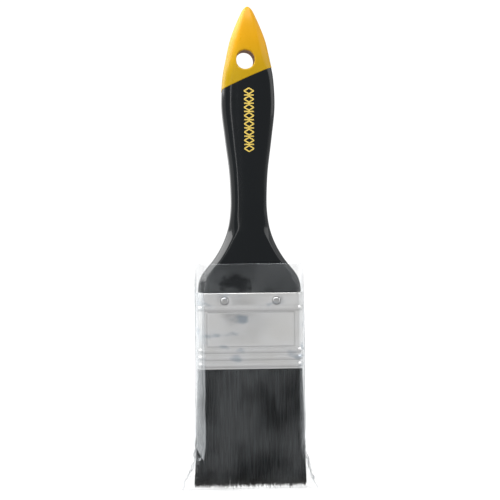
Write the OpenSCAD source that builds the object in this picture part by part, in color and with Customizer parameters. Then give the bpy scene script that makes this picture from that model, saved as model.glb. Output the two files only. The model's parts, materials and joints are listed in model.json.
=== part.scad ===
// Flat paint brush, 2 inch (50 mm) size, in its clear film sleeve.
// Every size is in millimetres. The origin is the centre of the hang hole,
// +Z points to the tip of the handle, and the front face looks along -Y.

/* [Handle] */
// Length of the handle from its tip to the top edge of the ferrule
handle_len = 137.5; // [115:0.5:170]
// Distance from the tip of the handle to the centre of the hang hole
hole_from_tip = 26.1; // [18:0.1:34]
// Diameter of the hang hole
hole_d = 9.2; // [6:0.1:12]
// How far the hang hole is drilled to the left of the handle's centre line
hole_offset = 1.5; // [0:0.1:3]
// Width of the handle at its belly
belly_w = 25.6; // [20:0.1:34]
// Thickness of the handle at its belly
belly_t = 12; // [9:0.1:14]
// Width of the handle at its neck
neck_w = 17; // [13:0.1:22]
// Thickness of the handle at its neck
neck_t = 11.2; // [8:0.1:13]
// Radius that rounds the long edges of the handle
edge_r = 2.6; // [1:0.1:3.5]
// How far the faces of the handle are crowned in the middle
crown = 0.4; // [0:0.05:0.8]
// Length of the tang, the stretch of the handle inside the ferrule
tang_len = 15; // [8:0.5:16]

/* [Dip coat] */
// Thickness of the coloured coat on the tip of the handle
coat_t = 0.2; // [0.1:0.05:0.4]
// How far below the hang hole the coat ends, on the centre line
coat_below_hole = 8.9; // [7:0.1:16]
// Slant of the coat's edge across the width, in degrees
coat_slant = 24.5; // [0:0.5:30]
// Slant of the coat's edge from front to back, in degrees
coat_lean = 6; // [0:0.5:12]

/* [Ferrule] */
// Outer width of the ferrule
ferrule_w = 50.8; // [38:0.1:64]
// Outer thickness of the ferrule
ferrule_t = 15; // [13:0.1:20]
// Height of the ferrule
ferrule_h = 36.3; // [33:0.1:48]
// Thickness of the sheet metal
wall = 0.35; // [0.25:0.05:0.6]
// Outer radius of the ferrule's four upright corners
corner_r = 4; // [3:0.1:6]
// How far the rolled beads stand out of the wall
bead_h = 0.6; // [0.3:0.05:0.9]
// Height of one rolled bead along the ferrule
bead_w = 2.6; // [2:0.1:3]
// Distance from the top edge of the ferrule to the middle of the upper bead
upper_bead = 7.2; // [6:0.1:9]
// Distance from the bottom edge of the ferrule to the middle of the lowest bead
lowest_bead = 2.2; // [1.8:0.1:4]
// Spacing of the lower beads
bead_pitch = 3.4; // [3:0.1:4]
// Number of lower beads
lower_beads = 3; // [1:1:3]
// Width of the raised panel between the beads
panel_w = 41.6; // [20:0.1:46]
// How far the raised panel stands out of the wall
panel_h = 0.3; // [0.1:0.05:0.5]
// Width of the folded lock seam on the narrow side
seam_w = 3.2; // [2:0.1:5]
// How far the lock seam stands out of the wall
seam_h = 0.35; // [0.2:0.05:0.6]

/* [Nails] */
// Spacing of the two nails on each face
nail_spacing = 24.8; // [14:0.1:34]
// Distance from the top edge of the ferrule to the nails
nail_drop = 3.7; // [3:0.1:5]
// Diameter of a nail's head
nail_head_d = 3.4; // [2.4:0.1:4]
// Height of a nail's domed head
nail_head_h = 0.55; // [0.3:0.05:0.8]
// Diameter of a nail's shank
nail_d = 1.4; // [1:0.1:1.8]
// Length of a nail below its head
nail_len = 5.6; // [4:0.1:6]

/* [Bristles] */
// Length of the bristles that stands out of the ferrule
bristle_len = 56.4; // [40:0.1:75]
// Thickness of the bristle pack at its tips
tip_t = 9.2; // [6:0.1:11]
// How much wider the pack is at its tips than in the ferrule
bristle_flare = 3; // [0:0.1:4]
// Thickness of one spacer plug
plug_t = 1.6; // [1:0.1:2.2]
// Thickness of the middle layer of bristles between the plugs
middle_t = 3.7; // [2.5:0.1:4.5]
// Clear width at each end of a plug
plug_end_gap = 2.4; // [1.5:0.1:5]
// Distance from the mouth of the ferrule up to the plugs
plug_above_mouth = 1.5; // [0.5:0.1:3]
// Thickness of the resin set above the butts of the bristles
resin_t = 3.4; // [2:0.1:5]
// How far below the mouth the gaps under the plugs close
reservoir_len = 18; // [8:0.5:30]

/* [Sleeve] */
// Thickness of the film
film_t = 0.1; // [0.08:0.01:0.2]
// Length of the sleeve from its mouth to its sealed edge
sleeve_len = 109.5; // [90:0.5:130]
// Clear distance from the bristle tips to the sealed edge
seal_gap = 2.8; // [2.5:0.1:8]
// Extra width of the sleeve at its sealed edge, where the film lies flat
seal_spread = 12.6; // [6:0.1:20]
// Height of the flat weld along the sealed edge
seal_h = 1; // [0.6:0.1:2]

/* [Fits] */
// Gap between pieces that are fixed together
fixed_gap = 0.05; // [0.02:0.01:0.1]
// Gap between the wood and the ferrule around it
tang_gap = 0.2; // [0.1:0.05:0.4]
// Gap between the sliding sleeve and what it slides over
sleeve_gap = 0.35; // [0.3:0.05:1]

/* [Hidden] */
$fn = 48;

// Levels along the brush, all measured from the hang hole
tip_z = hole_from_tip;
ferrule_top = tip_z - handle_len;
ferrule_mouth = ferrule_top - ferrule_h;
tang_end = ferrule_top - tang_len;
resin_end = tang_end - fixed_gap - resin_t;
plug_top = resin_end - fixed_gap;
plug_end = ferrule_mouth + plug_above_mouth;
gap_end = ferrule_mouth - reservoir_len;
bristle_tip = ferrule_mouth - bristle_len;
seal_z = bristle_tip - seal_gap;
sleeve_mouth = seal_z + sleeve_len;
nail_z = ferrule_top - nail_drop;

// Half sizes across the brush
ferrule_in = [ferrule_w / 2 - wall, ferrule_t / 2 - wall];
ferrule_in_r = corner_r - wall;
tang_half = [ferrule_in.x - tang_gap, ferrule_in.y - tang_gap];
pack_half = [ferrule_in.x - fixed_gap, ferrule_in.y - fixed_gap];
pack_r = ferrule_in_r - fixed_gap;
middle_half = middle_t / 2;
plug_face = middle_half + plug_t;
plug_half_w = pack_half.x - plug_end_gap;
closed_y = (middle_half + plug_face) / 2 - plug_t / 4;
flare_half = pack_half.x + bristle_flare / 2;

// The handle is described by its half width and half thickness at shares of
// its length from the tip, each a mix of the belly, the neck and the tang.
belly_half = [belly_w, belly_t] / 2;
neck_half = [neck_w, neck_t] / 2;
function mix(a, b, share) = a + (b - a) * share;
function at_belly(width, thickness) = [belly_half.x * width, belly_half.y * thickness];
function to_neck(width, thickness) =
    [mix(belly_half.x, neck_half.x, width), mix(belly_half.y, neck_half.y, thickness)];
function to_tang(width, thickness) =
    [mix(neck_half.x, tang_half.x, width), mix(neck_half.y, tang_half.y, thickness)];
HANDLE = [
    [0.017, at_belly(0.20, 0.34)],
    [0.045, at_belly(0.345, 0.52)],
    [0.129, at_belly(0.69, 0.77)],
    [0.241, at_belly(0.94, 0.94)],
    [0.339, at_belly(1, 1)],
    [0.465, to_neck(0.40, 0.3)],
    [0.602, to_neck(0.91, 0.8)],
    [0.690, to_neck(1, 1)],
    [0.756, to_tang(0.05, 0.1)],
    [0.814, to_tang(0.19, 0.3)],
    [0.884, to_tang(0.51, 0.65)],
    [0.941, to_tang(0.90, 0.9)],
    [0.966, to_tang(0.975, 0.97)],
    [1.000, to_tang(1, 1)]
];
round_tip = HANDLE[0][0];

// A smooth curve through the stations that never overshoots them
function rise(i, axis) =
    (HANDLE[i + 1][1][axis] - HANDLE[i][1][axis]) / (HANDLE[i + 1][0] - HANDLE[i][0]);
function slope(i, axis) =
    i == 0 ? rise(0, axis)
    : i == len(HANDLE) - 1 ? 0
    : rise(i - 1, axis) * rise(i, axis) <= 0 ? 0
    : 2 * rise(i - 1, axis) * rise(i, axis) / (rise(i - 1, axis) + rise(i, axis));
function station(share, i = 0) =
    i >= len(HANDLE) - 2 || share <= HANDLE[i + 1][0] ? i : station(share, i + 1);
function half_size(share, axis) =
    let (
        i = station(share),
        span = HANDLE[i + 1][0] - HANDLE[i][0],
        t = (share - HANDLE[i][0]) / span
    )
    HANDLE[i][1][axis] * (2 * t ^ 3 - 3 * t ^ 2 + 1)
    + HANDLE[i + 1][1][axis] * (3 * t ^ 2 - 2 * t ^ 3)
    + slope(i, axis) * span * (t ^ 3 - 2 * t ^ 2 + t)
    + slope(i + 1, axis) * span * (t ^ 3 - t ^ 2);

// One cross-section: a rectangle with round corners and crowned faces
arc_steps = 6;
face_steps = 4;
function corner(half, r, quarter) =
    let (
        side = quarter == 0 || quarter == 3 ? 1 : -1,
        face = quarter < 2 ? 1 : -1
    )
    [for (i = [0:arc_steps]) let (a = 90 * (quarter + i / arc_steps))
        [side * (half.x - r) + r * cos(a), face * (half.y - r) + r * sin(a)]];
function crowned(half, r, rise, face) =
    [for (i = [1:face_steps - 1]) let (u = 1 - 2 * i / face_steps)
        [face * u * (half.x - r), face * (half.y + rise * (1 - u * u))]];
function section(half, r, rise = 0) =
    concat(
        corner(half, r, 0), crowned(half, r, rise, 1), corner(half, r, 1),
        corner(half, r, 2), crowned(half, r, rise, -1), corner(half, r, 3)
    );
function lifted(points, z) = [for (p = points) [p.x, p.y, z]];

// A closed solid through a stack of sections, from the lowest to the highest
module loft(sections) {
    n = len(sections[0]);
    last = len(sections) - 1;
    polyhedron(
        points = [for (ring = sections) each ring],
        faces = concat(
            [[for (j = [0:n - 1]) j]],
            [for (i = [0:last - 1], j = [0:n - 1]) let (k = (j + 1) % n)
                each [[i * n + j, (i + 1) * n + j, (i + 1) * n + k],
                      [i * n + j, (i + 1) * n + k, i * n + k]]],
            [[for (j = [n - 1:-1:0]) last * n + j]]
        ),
        convexity = 6
    );
}

// The handle's section at a share of its length, grown by the coat if there is one.
// Before the first station the section shrinks along a quarter circle, which rounds the tip.
tip_steps = 5;
body_steps = 44;
least_tip = 0.12;
blend_out = 0.1;
roundest = 0.92;
function handle_section(share, grow) =
    let (
        closing = share < round_tip ? max(least_tip, sqrt(1 - (1 - share / round_tip) ^ 2)) : 1,
        at = max(share, round_tip),
        free = min(1, (1 - at) / blend_out),
        half = [half_size(at, 0), half_size(at, 1)] * closing + [grow, grow],
        rise = crown * free * closing * min(1, half.x / belly_half.x),
        r = mix(ferrule_in_r - tang_gap, edge_r, free) * closing + grow
    )
    lifted(section([half.x, half.y - rise], min(r, (half.y - rise) * roundest), rise),
        tip_z + grow * (1 - share) - share * handle_len);
handle_shares = concat(
    [for (i = [body_steps:-1:0]) mix(round_tip, 1, i / body_steps)],
    [for (i = [1:tip_steps]) round_tip * (1 - sin(90 * i / tip_steps))]
);

// The handle above the ferrule, from its tip down to a share of its length
module handle_solid(grow = 0, reach = 1) {
    loft([for (share = handle_shares) if (share <= reach) handle_section(share, grow)]);
}
module tang() {
    top = handle_section(1, 0);
    loft([[for (p = top) [p.x, p.y, tang_end]], top]);
}

// Pieces are drawn on the brush's centre line, and then set beside the hang hole
module centred() {
    translate([hole_offset, 0, 0]) children();
}
module hang_hole() {
    translate([-hole_offset, 0, 0]) rotate([90, 0, 0])
        cylinder(h = 2 * ferrule_t, r = hole_d / 2, center = true);
}

// Each nail's place: side of the brush and face of the ferrule
module at_nail(side, face) {
    translate([side * nail_spacing / 2, face * ferrule_t / 2, nail_z])
        rotate([-90 * face, 0, 0]) children();
}

module handle() {
    color([0.07, 0.08, 0.09]) difference() {
        union() {
            handle_solid();
            tang();
        }
        hang_hole();
        for (side = [-1, 1], face = [-1, 1])
            at_nail(side, face) nail_shank(fixed_gap);
    }
}

// The dipped coat follows the wood and ends on a slanted plane
coat_reach = (hole_from_tip + coat_below_hole + belly_half.x * tan(coat_slant)
    + belly_half.y * tan(coat_lean)) / handle_len + 1 / body_steps;
module tip_dip_coat() {
    size = 4 * belly_w;
    color([0.95, 0.72, 0.05]) intersection() {
        difference() {
            handle_solid(coat_t, coat_reach);
            handle_solid(0, coat_reach + 1 / body_steps);
            hang_hole();
        }
        translate([0, 0, -coat_below_hole]) rotate([-coat_lean, -coat_slant, 0])
            translate([-size / 2, -size / 2, 0]) cube(size);
    }
}

// Rolled beads: the wall swells outwards along these levels
bead_levels = concat(
    [ferrule_top - upper_bead],
    [for (i = [lower_beads - 1:-1:0]) ferrule_mouth + lowest_bead + i * bead_pitch]
);
bead_steps = 6;
wall_levels = concat(
    [ferrule_top],
    [for (level = bead_levels, i = [0:bead_steps]) level + bead_w * (0.5 - i / bead_steps)],
    [ferrule_mouth]
);
function swell(z, i = 0) =
    i == len(bead_levels) ? 0
    : abs(z - bead_levels[i]) < bead_w / 2
        ? bead_h * cos(180 * (z - bead_levels[i]) / bead_w) ^ 2
    : swell(z, i + 1);
module wall_profile() {
    n = len(wall_levels);
    polygon(concat(
        [for (z = wall_levels) [wall + swell(z), z]],
        [for (i = [n - 1:-1:0]) [swell(wall_levels[i]), wall_levels[i]]]
    ));
}
module wall_run(length) {
    rotate([90, 0, 0]) linear_extrude(length, center = true) wall_profile();
}
module rounded_rectangle(w, h, r) {
    square([w - 2 * r, h], center = true);
    square([w, h - 2 * r], center = true);
    for (x = [-1, 1], y = [-1, 1])
        translate([x * (w / 2 - r), y * (h / 2 - r)]) circle(r);
}

panel_top = ferrule_top - upper_bead - bead_w / 2 - 0.6;
panel_end = bead_levels[1] + bead_w / 2 + 0.6;
panel_r = 1.2;
module raised_panel(face) {
    translate([0, face * (ferrule_t / 2 - wall / 2), (panel_top + panel_end) / 2])
        rotate([-90 * face, 0, 0]) linear_extrude(wall / 2 + panel_h)
            rounded_rectangle(panel_w, panel_top - panel_end, panel_r);
}
module lock_seam() {
    translate([ferrule_w / 2 - wall / 2, -seam_w / 2, ferrule_mouth])
        cube([wall / 2 + seam_h, seam_w, ferrule_h]);
}

module ferrule() {
    run_x = ferrule_w - 2 * corner_r;
    run_y = ferrule_t - 2 * corner_r;
    color([0.75, 0.75, 0.74]) difference() {
        union() {
            for (side = [0, 180]) rotate(side) {
                translate([ferrule_in.x, 0, 0]) wall_run(run_y);
                translate([0, ferrule_in.y, 0]) rotate(90) wall_run(run_x);
                translate([run_x / 2, run_y / 2, 0])
                    rotate_extrude(angle = 90) translate([ferrule_in_r, 0]) wall_profile();
                translate([-run_x / 2, run_y / 2, 0]) rotate(90)
                    rotate_extrude(angle = 90) translate([ferrule_in_r, 0]) wall_profile();
            }
            for (face = [-1, 1]) raised_panel(face);
            lock_seam();
        }
        for (side = [-1, 1], face = [-1, 1])
            at_nail(side, face) cylinder(h = 3, r = nail_d / 2 + fixed_gap, center = true);
    }
}

// A nail's shank runs down from the origin and ends in a point
module nail_shank(gap = 0) {
    r = nail_d / 2 + gap;
    point = 1.5 * nail_d;
    rotate_extrude() polygon([
        [0, gap], [r, gap], [r, point - nail_len], [0, -nail_len - gap]
    ]);
}
// The domed head is part of a ball whose radius gives the head's width and height
module nail() {
    head_r = nail_head_d / 2;
    ball_r = (head_r ^ 2 + nail_head_h ^ 2) / (2 * nail_head_h);
    color([0.72, 0.72, 0.70]) union() {
        nail_shank();
        intersection() {
            translate([0, 0, nail_head_h - ball_r]) sphere(ball_r);
            cylinder(h = 2 * nail_head_h, r = head_r + 1);
        }
    }
}

// The bristles fill the ferrule, flare to their full width and thin to the tips.
// Each row is a level and the half sizes of the pack there.
PACK = [
    [ferrule_mouth, pack_half.x, pack_half.y],
    [mix(ferrule_mouth, bristle_tip, 0.3), mix(pack_half.x, flare_half, 0.65),
        mix(pack_half.y, tip_t / 2, 0.14)],
    [mix(ferrule_mouth, bristle_tip, 0.6), mix(pack_half.x, flare_half, 0.96),
        mix(pack_half.y, tip_t / 2, 0.42)],
    [bristle_tip, flare_half, tip_t / 2]
];
module pack_slice(row, h) {
    translate([0, 0, row[0]]) linear_extrude(h)
        rounded_rectangle(2 * row[1], 2 * row[2], min(pack_r, row[2] * 0.8), $fn = 32);
}
slice = 0.02;
module bristle_pack() {
    pack_slice(PACK[0], plug_top - ferrule_mouth);
    hull() {
        pack_slice([ferrule_mouth - slice, PACK[0][1], PACK[0][2]], slice);
        for (i = [1:len(PACK) - 1]) pack_slice(PACK[i], slice);
    }
}
module side_profile(points) {
    rotate([90, 0, 90]) linear_extrude(2 * ferrule_w, center = true) polygon(points);
}
far = 2 * ferrule_t;

// An outer layer lies against the ferrule, and closes in under its plug
module outer_layer(face) {
    color([0.06, 0.06, 0.07]) intersection() {
        bristle_pack();
        side_profile([
            [face * far, plug_top], [face * (plug_face + fixed_gap), plug_top],
            [face * (plug_face + fixed_gap), plug_end],
            [face * (closed_y + fixed_gap), gap_end],
            [face * (closed_y + fixed_gap), bristle_tip - 1], [face * far, bristle_tip - 1]
        ]);
    }
}
module bristle_front() { outer_layer(-1); }
module bristle_back() { outer_layer(1); }

// The middle layer stands between the plugs and wraps their ends
module bristle_middle() {
    color([0.05, 0.05, 0.06]) difference() {
        intersection() {
            bristle_pack();
            side_profile([
                [-plug_face, plug_top], [plug_face, plug_top], [plug_face, plug_end],
                [closed_y, gap_end], [closed_y, bristle_tip - 1],
                [-closed_y, bristle_tip - 1], [-closed_y, gap_end], [-plug_face, plug_end]
            ]);
        }
        for (face = [-1, 1]) reservoir(face);
    }
}
// The gap that a plug leaves below itself, with room for the plug
module reservoir(face) {
    rotate([90, 0, 90])
        linear_extrude(2 * (plug_half_w + fixed_gap), center = true) polygon([
            [face * (middle_half - fixed_gap), plug_top + 1],
            [face * far, plug_top + 1], [face * far, gap_end],
            [face * closed_y, gap_end], [face * (middle_half - fixed_gap), plug_end]
        ]);
}

module spacer_plug(face) {
    color([0.72, 0.58, 0.40])
        translate([0, face * (middle_half + plug_face) / 2, (plug_top + plug_end) / 2])
            cube([2 * plug_half_w, plug_t - fixed_gap, plug_top - plug_end - fixed_gap],
                center = true);
}
module spacer_plug_front() { spacer_plug(-1); }
module spacer_plug_back() { spacer_plug(1); }

module epoxy_setting() {
    color([0.80, 0.66, 0.36]) translate([0, 0, resin_end]) linear_extrude(resin_t)
        rounded_rectangle(2 * pack_half.x, 2 * pack_half.y, pack_r);
}

// The sleeve is a tube of film. It clears the ferrule, the nails and the flared bristles
// on its way off, and flattens into a wider welded edge below the tips.
proud = max(bead_h, nail_head_h, panel_h);
tube_half = [
    max(ferrule_w / 2 + max(bead_h, seam_h), flare_half) + sleeve_gap,
    ferrule_t / 2 + proud + sleeve_gap
];
seal_half = tube_half.x + seal_spread / 2;
SLEEVE = [
    [seal_z, seal_half, film_t],
    [seal_z + seal_h, seal_half, film_t],
    [bristle_tip - sleeve_gap, mix(tube_half.x, seal_half, 0.78), tip_t / 2 + sleeve_gap],
    [bristle_tip + 5, mix(tube_half.x, seal_half, 0.42), mix(tip_t / 2, tube_half.y, 0.55)],
    [bristle_tip + 16, mix(tube_half.x, seal_half, 0.08), mix(tip_t / 2, tube_half.y, 0.9)],
    [bristle_tip + 28, tube_half.x, tube_half.y],
    [sleeve_mouth, tube_half.x, tube_half.y]
];
module film_sleeve() {
    rows = len(SLEEVE) - 1;
    outer_r = corner_r + 0.8;
    color([0.85, 0.88, 0.92, 0.35]) difference() {
        loft([for (row = SLEEVE)
            lifted(section([row[1] + film_t, row[2] + film_t],
                min(outer_r, (row[2] + film_t) * 0.9)), row[0])]);
        loft([for (i = [1:rows]) let (row = SLEEVE[i])
            lifted(section([row[1], i == 1 ? film_t / 2 : row[2]],
                min(outer_r - film_t, (i == 1 ? film_t / 2 : row[2]) * 0.9)),
                i == rows ? row[0] + 1 : row[0])]);
    }
}

centred() handle();
centred() tip_dip_coat();
centred() ferrule();
centred() at_nail(-1, -1) nail();  // nail_front_left
centred() at_nail(1, -1) nail();  // nail_front_right
centred() at_nail(-1, 1) nail();  // nail_back_left
centred() at_nail(1, 1) nail();  // nail_back_right
centred() bristle_front();
centred() bristle_middle();
centred() bristle_back();
centred() spacer_plug_front();
centred() spacer_plug_back();
centred() epoxy_setting();
centred() film_sleeve();
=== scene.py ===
# %% [markdown]
# # A flat paint brush in its film sleeve
# The brush hangs by the hole in its handle. Its solid model is already made and arrives as the
# frame: named bodies and nodes, in metres. This lesson dresses that frame. Each piece that shows
# is built again with the fine shape that a solid model leaves out, and every piece gets a
# material made of nodes.

import json
import math

import bmesh
import bpy
import numpy as np
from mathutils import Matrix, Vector, noise


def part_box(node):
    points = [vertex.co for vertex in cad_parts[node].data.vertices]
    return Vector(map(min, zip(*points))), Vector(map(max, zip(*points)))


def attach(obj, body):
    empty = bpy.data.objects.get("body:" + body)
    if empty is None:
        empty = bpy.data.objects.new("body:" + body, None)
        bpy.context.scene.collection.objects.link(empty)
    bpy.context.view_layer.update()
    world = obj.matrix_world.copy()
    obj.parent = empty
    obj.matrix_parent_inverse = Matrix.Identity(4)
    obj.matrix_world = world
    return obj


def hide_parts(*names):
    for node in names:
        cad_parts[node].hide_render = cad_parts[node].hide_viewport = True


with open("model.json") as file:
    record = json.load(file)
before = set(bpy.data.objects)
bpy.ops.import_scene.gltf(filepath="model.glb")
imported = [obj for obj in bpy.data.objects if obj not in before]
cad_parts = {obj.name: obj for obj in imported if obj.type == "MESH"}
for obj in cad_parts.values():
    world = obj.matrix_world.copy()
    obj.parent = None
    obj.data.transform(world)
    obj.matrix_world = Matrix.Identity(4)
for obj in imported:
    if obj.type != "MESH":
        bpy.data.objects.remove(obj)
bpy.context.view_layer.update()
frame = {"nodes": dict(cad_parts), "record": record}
mm = 0.001

# %% [markdown]
# ## Levels along the brush
# The main levels and widths come from the boxes of the frame's nodes, so that the looks fit the
# solid model. Z runs up the handle, X across the width, and the front faces -Y. The middle of
# the hang hole is the origin, and the brush hangs a little to the right of it.

# %% Read the levels
handle_low, handle_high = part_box("handle")
ferrule_low, ferrule_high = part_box("ferrule")
pack_low, pack_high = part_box("bristle_middle")
sleeve_low, sleeve_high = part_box("film_sleeve")
axis_x = (pack_low.x + pack_high.x) / 2
tip_z = handle_high.z
tang_end = handle_low.z
ferrule_top = ferrule_high.z
ferrule_mouth = ferrule_low.z
bristle_tip = pack_low.z
hole_r = frame["record"]["mounts"][0]["dims"]["r_mm"] * mm
print(f"axis {axis_x / mm:.1f} mm, ferrule {ferrule_top / mm:.1f} to {ferrule_mouth / mm:.1f} mm")

# %% [markdown]
# ## Camera and light
# A product shot on white wants two things at once: a background that is pure white, and
# surroundings dim enough for black lacquer to stay black. The world does both, because it can
# show one brightness to the camera and another to the surfaces. Large soft lamps on both sides
# then draw the long highlights along the edges, the left one being the stronger. A lamp above
# and one high up behind the left side light the sloping faces, and two smaller ones add the
# narrow gleams on the handle. One small dark spot in the world gives the metal a thing to mirror.

# %% Camera
camera_distance = 600 * mm
camera_shift = 0.5 * mm
camera_turn = math.radians(5)
camera_z = -91 * mm
camera_field = math.radians(22.68)
camera_roll = math.radians(0.43)
camera_data = bpy.data.cameras.new("camera")
camera_data.angle = camera_field
camera = bpy.data.objects.new("camera", camera_data)
camera.location = (
    axis_x + camera_shift - camera_distance * math.sin(camera_turn),
    -camera_distance * math.cos(camera_turn),
    camera_z,
)
camera.rotation_euler = (math.pi / 2, camera_roll, -camera_turn)
bpy.context.scene.collection.objects.link(camera)
bpy.context.scene.camera = camera
bpy.context.scene.view_settings.view_transform = "Standard"
print(f"camera {camera_distance / mm:.0f} mm away, {math.degrees(camera_field):.1f} degrees wide")

# %% [markdown]
# ## Building with nodes
# The world and every material are trees of nodes. Built by hand they take a line for each node,
# socket and link. A few small functions shorten that and give the common steps a name: spreading
# a value over a range, multiplying two, and measuring how far a place is from a centre.

# %% Node helpers
def nodes_of(owner):
    """Empties a node tree and returns a function that adds a node, and one that links two sockets."""
    owner.use_nodes = True
    tree = owner.node_tree
    tree.nodes.clear()

    def add(kind, **values):
        node = tree.nodes.new(kind)
        for name, value in values.items():
            if hasattr(node, name):
                setattr(node, name, value)
            else:
                node.inputs[name.replace("_", " ")].default_value = value
        return node

    return add, tree.links.new


def spread(add, link, source, low, high, start=0.0, end=1.0, curve="LINEAR"):
    """Turns a value that runs from start to end into one that runs from low to high."""
    node = add("ShaderNodeMapRange", interpolation_type=curve)
    node.inputs["From Min"].default_value = start
    node.inputs["From Max"].default_value = end
    node.inputs["To Min"].default_value = low
    node.inputs["To Max"].default_value = high
    link(source, node.inputs["Value"])
    return node.outputs["Result"]


def times(add, link, a, b):
    """The product of a socket and another socket or a number."""
    node = add("ShaderNodeMath", operation="MULTIPLY")
    link(a, node.inputs[0])
    if isinstance(b, float):
        node.inputs[1].default_value = b
    else:
        link(b, node.inputs[1])
    return node.outputs[0]


def distance_from(add, link, here, centre, scale):
    """How far a place is from a centre. Each axis has its own scale, and 0 leaves it out."""
    away = add("ShaderNodeVectorMath", operation="SUBTRACT")
    away.inputs[1].default_value = centre
    shape = add("ShaderNodeVectorMath", operation="MULTIPLY")
    shape.inputs[1].default_value = scale
    size = add("ShaderNodeVectorMath", operation="LENGTH")
    link(here, away.inputs[0])
    link(away.outputs[0], shape.inputs[0])
    link(shape.outputs[0], size.inputs[0])
    return size.outputs["Value"]


# %% World
# Places in the world are directions of length 1, with -Y at the front.
studio_white = 1.1
front_dim, back_dim = 0.34, 0.62
front_y, back_y = -0.25, 0.6
low_gain = 1.5
low_start, low_end = 0.02, -0.05
dark_spot, dark_spot_r = (0.077, -0.99, -0.050), 0.017
spot_start, spot_end = 0.4, 1.5


def make_world():
    world = bpy.data.worlds.new("white_studio")
    add, link = nodes_of(world)
    direction = add("ShaderNodeTexCoord").outputs["Generated"]
    split = add("ShaderNodeSeparateXYZ")
    link(direction, split.inputs[0])
    behind = spread(add, link, split.outputs["Y"], front_dim, back_dim, front_y, back_y)
    low_down = spread(add, link, split.outputs["Z"], 1.0, low_gain, low_start, low_end)
    scale = (1 / dark_spot_r, 0, 1 / dark_spot_r)
    away = distance_from(add, link, direction, dark_spot, scale)
    spot = spread(add, link, away, 0.0, 1.0, spot_start, spot_end, "SMOOTHSTEP")
    strength = add("ShaderNodeMix", data_type="FLOAT")
    strength.inputs["B"].default_value = studio_white
    background = add("ShaderNodeBackground", Color=(1, 1, 1, 1))
    link(times(add, link, times(add, link, behind, low_down), spot), strength.inputs["A"])
    link(add("ShaderNodeLightPath").outputs["Is Camera Ray"], strength.inputs["Factor"])
    link(strength.outputs["Result"], background.inputs["Strength"])
    link(background.outputs[0], add("ShaderNodeOutputWorld").inputs[0])
    bpy.context.scene.world = world
    print(f"{world.name}: {studio_white} to the camera, {front_dim} to {back_dim} to surfaces")


make_world()


# %% Lamps
def soft_lamp(name, position, size, watts, colour=(1, 1, 1)):
    """A lamp with a surface, aimed at the middle of the brush and hidden from the camera."""
    data = bpy.data.lights.new(name, "AREA")
    data.shape = "RECTANGLE"
    data.size, data.size_y = size
    data.energy = watts
    data.color = colour
    lamp = bpy.data.objects.new(name, data)
    lamp.location = position
    aim = Vector((axis_x, 0, camera_z)) - Vector(position)
    lamp.rotation_euler = aim.to_track_quat("-Z", "Y").to_euler()
    lamp.visible_camera = False
    bpy.context.scene.collection.objects.link(lamp)
    print(f"{name}: {watts} W from {size[0]:.2f} x {size[1]:.2f} m")


# Positions and sizes are in metres.
warm, cool = (1.0, 0.985, 0.96), (0.96, 0.98, 1.0)
soft_lamp("left_softbox", (-0.60, -0.12, 0.0), (0.70, 0.90), 1.15, warm)
soft_lamp("right_softbox", (0.62, -0.05, -0.02), (0.60, 0.90), 0.52, cool)
soft_lamp("top_softbox", (-0.05, -0.38, 0.60), (0.80, 0.50), 5.2)
soft_lamp("upper_left", (-0.50, 0.05, 0.34), (0.70, 0.60), 5.6)
soft_lamp("left_strip", (-0.21, -0.80, 0.065), (0.05, 0.37), 0.20)
soft_lamp("right_strip", (0.50, -0.20, 0.13), (0.35, 0.30), 0.44)

# %% [markdown]
# ## Helpers for meshes and materials
# Most pieces here are grids: rings of points stacked along the brush. One helper turns rows of
# points into quads, one makes the object with its materials, and one gives it its body.
# Patterns in the materials are noises measured in the piece's own metres, so they stay fixed to
# the piece when it moves.

# %% Mesh helpers
def mesh_object(name, points, faces, materials, face_materials=None, smooth=True):
    """An object in the scene. Where it has several materials, each face says which it takes."""
    mesh = bpy.data.meshes.new(name)
    mesh.from_pydata([tuple(p) for p in points], [], faces)
    for material in materials:
        mesh.materials.append(material)
    if face_materials is not None:
        mesh.polygons.foreach_set("material_index", face_materials)
    mesh.polygons.foreach_set("use_smooth", [smooth] * len(mesh.polygons))
    mesh.update()
    piece = bpy.data.objects.new(name, mesh)
    bpy.context.scene.collection.objects.link(piece)
    return piece


def grid_faces(rows, per_row, closed=True, first=0):
    """Quads between rows of points, where the last point of a row joins its first if closed."""
    faces = []
    for i in range(rows - 1):
        for j in range(per_row if closed else per_row - 1):
            k = (j + 1) % per_row
            a = first + i * per_row
            faces.append((a + j, a + k, a + per_row + k, a + per_row + j))
    return faces


def face_outwards(piece):
    """Turns every face so that its front is on the outside."""
    bm = bmesh.new()
    bm.from_mesh(piece.data)
    bmesh.ops.recalc_face_normals(bm, faces=bm.faces)
    bm.to_mesh(piece.data)
    bm.free()


def subdivide(piece, levels):
    """Rounds the piece off between its points, each level with four faces for one."""
    modifier = piece.modifiers.new("smooth_surface", "SUBSURF")
    modifier.levels = modifier.render_levels = levels


def place(piece, body, slot, *nodes):
    """The piece rides on its body and stands for the nodes it replaces. Its slot is not used."""
    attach(piece, body)
    if nodes:
        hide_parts(*nodes)
    print(f"{piece.name}: {len(piece.data.polygons)} faces on {body}")


def smoothstep(t):
    """0 below 0, 1 above 1 and an even curve between."""
    t = min(1.0, max(0.0, t))
    return t * t * (3 - 2 * t)


def mix(a, b, share):
    """From a, at a share of 0, to b, at a share of 1."""
    return a + (b - a) * share


# %% Material helpers
def new_material(name):
    """A material with one shader, and the two functions that build its nodes."""
    material = bpy.data.materials.new(name)
    add, link = nodes_of(material)
    shader = add("ShaderNodeBsdfPrincipled")
    link(shader.outputs[0], add("ShaderNodeOutputMaterial").inputs[0])
    return material, shader, add, link


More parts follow.
